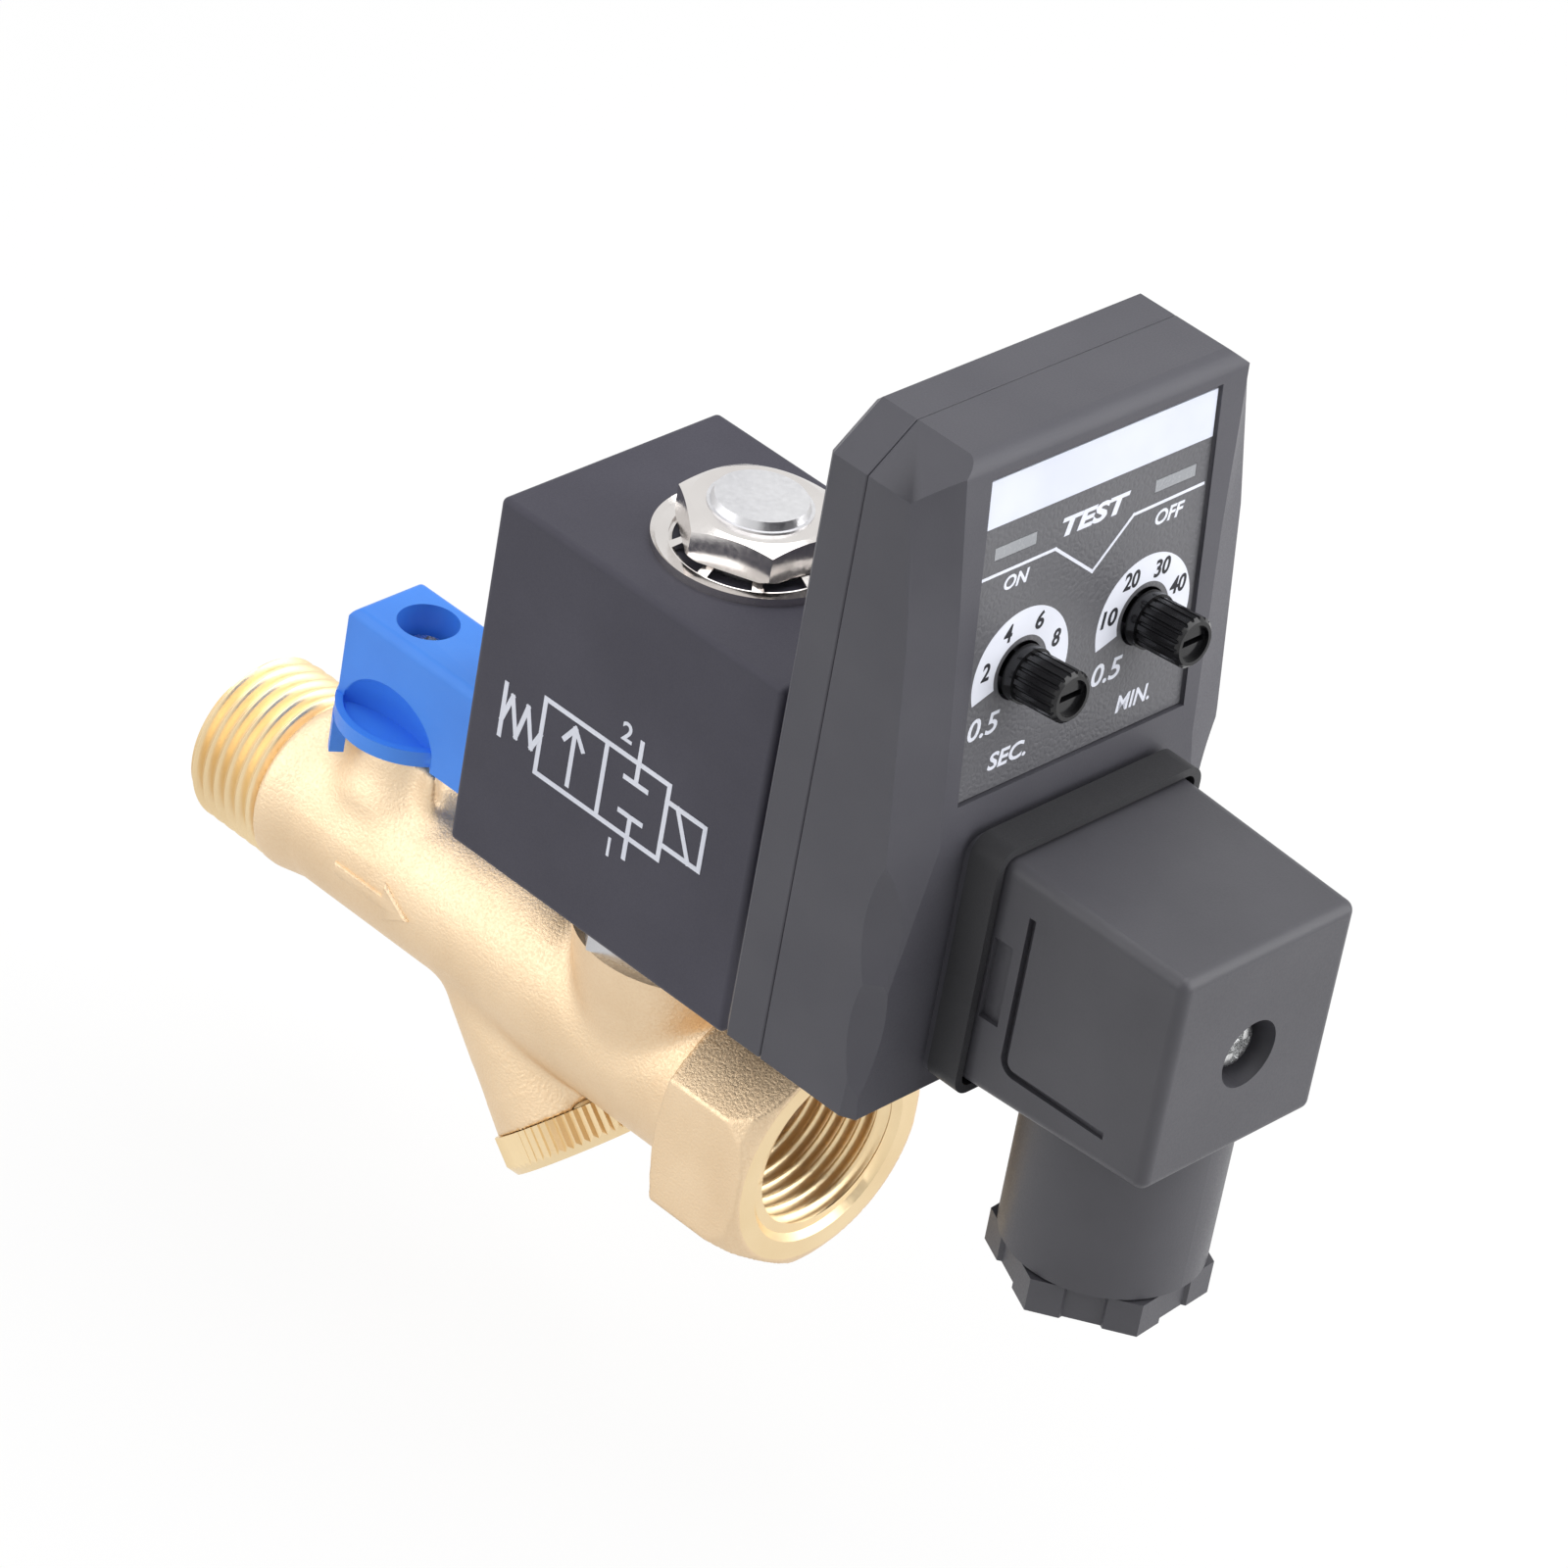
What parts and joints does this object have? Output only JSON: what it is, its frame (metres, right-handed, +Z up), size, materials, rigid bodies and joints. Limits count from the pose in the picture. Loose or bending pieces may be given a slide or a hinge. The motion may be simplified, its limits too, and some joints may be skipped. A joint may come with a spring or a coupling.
{
  "type": "automatic drain valve",
  "caption": "Timer-controlled solenoid drain valve with a ball valve, a Y strainer, a coil, a timer box and a cable plug on a threaded brass body.",
  "frame": {"origin": "centre of the outlet mouth, where the female thread begins", "axes": "+X along the pipe with the flow, out of the outlet; +Z up along the solenoid; Y across, the valve is nearly symmetric about Y=0"},
  "size_m": [0.1449, 0.05, 0.1316],
  "materials": {
    "cast_brass": "sand-cast, satin",
    "machined_brass": "machined, bright",
    "blue_nylon": "moulded, satin",
    "screw_steel": "zinc plated",
    "nickel": "nickel plated",
    "stainless": "turned",
    "ptfe": "smooth",
    "rubber": "matt",
    "coil_epoxy": "matt encapsulation",
    "timer_abs": "spark-eroded satin",
    "plug_nylon": "satin",
    "panel_film": "grained film",
    "label_white": "writable film",
    "window_grey": "clear window",
    "knob_black": "ribbed",
    "pcb_green": "solder mask",
    "copper": "enamelled copper wire",
    "contact_brass": "tinned contact",
    "component_grey": "moulded component",
    "led_red": "clear epoxy"
  },
  "bodies": {
    "valve": {"valve_body": "cast_brass", "inlet_nipple": "machined_brass", "ball_seats": "ptfe", "stem_packing": "ptfe", "packing_nut": "machined_brass", "armature_tube": "nickel", "tube_oring": "rubber", "fixed_core": "stainless", "plunger_spring": "stainless", "coil_housing": "coil_epoxy", "coil_yoke": "screw_steel", "coil_bobbin": "component_grey", "coil_winding": "copper", "coil_terminals": "contact_brass", "wave_washer": "stainless", "coil_washer": "nickel", "coil_nut": "nickel", "coil_gasket": "rubber", "timer_front_shell": "timer_abs", "timer_back_shell": "timer_abs", "shell_screws": "screw_steel", "front_panel": "panel_film", "label_strip": "label_white", "led_windows": "window_grey", "potentiometers": "component_grey", "circuit_board": "pcb_green", "relay": "component_grey", "capacitor": "component_grey", "indicator_leds": "led_red", "test_switch": "component_grey", "socket_contacts": "contact_brass", "front_blades": "contact_brass", "plug_gasket": "rubber"},
    "ball_and_handle": {"ball": "nickel", "ball_stem": "machined_brass", "handle": "blue_nylon", "handle_screw": "screw_steel"},
    "on_knob": {"knob_on": "knob_black"},
    "off_knob": {"knob_off": "knob_black"},
    "armature": {"plunger": "stainless", "plunger_seal": "rubber"},
    "test_actuator": {"test_button": "component_grey"},
    "strainer": {"strainer_cap": "machined_brass", "strainer_cap_oring": "rubber", "strainer_screen": "stainless"},
    "cable_plug": {"plug_housing": "plug_nylon", "plug_insert": "component_grey", "plug_contacts": "contact_brass", "plug_screw": "screw_steel", "cable_seal": "rubber", "gland_washer": "component_grey"},
    "cable_gland": {"gland_nut": "plug_nylon"}
  },
  "joints": [
    {"name": "handle_turn", "type": "hinge", "parent": "valve", "child": "ball_and_handle", "pos_m": [-0.0698, 0, 0.016], "axis": [0, 0, 1], "range_deg": [0, 90]},
    {"name": "on_knob_turn", "type": "hinge", "parent": "valve", "child": "on_knob", "pos_m": [0.01983, -0.0092, 0.078], "axis": [0.9952, 0, 0.098], "range_deg": [-135, 135]},
    {"name": "off_knob_turn", "type": "hinge", "parent": "valve", "child": "off_knob", "pos_m": [0.01983, 0.0092, 0.078], "axis": [0.9952, 0, 0.098], "range_deg": [-135, 135]},
    {"name": "armature_lift", "type": "slide", "parent": "valve", "child": "armature", "axis": [0, 0, 1], "range_m": [0, 0.0018], "stiffness_N_per_m": 150, "springref_m": -0.004, "deforming": ["plunger_spring"]},
    {"name": "test_press", "type": "slide", "parent": "valve", "child": "test_actuator", "axis": [-1, 0, 0], "range_m": [0, 0.0004], "stiffness_N_per_m": 600, "springref_m": -0.0003},
    {"name": "strainer_draw", "type": "slide", "parent": "valve", "child": "strainer", "axis": [0.7071, 0, -0.7071], "range_m": [0, 0.022]},
    {"name": "plug_draw", "type": "slide", "parent": "valve", "child": "cable_plug", "axis": [1, 0, 0], "range_m": [0, 0.02]},
    {"name": "gland_nut_draw", "type": "slide", "parent": "cable_plug", "child": "cable_gland", "axis": [0, 0, -1], "range_m": [0, 0.009]}
  ]
}
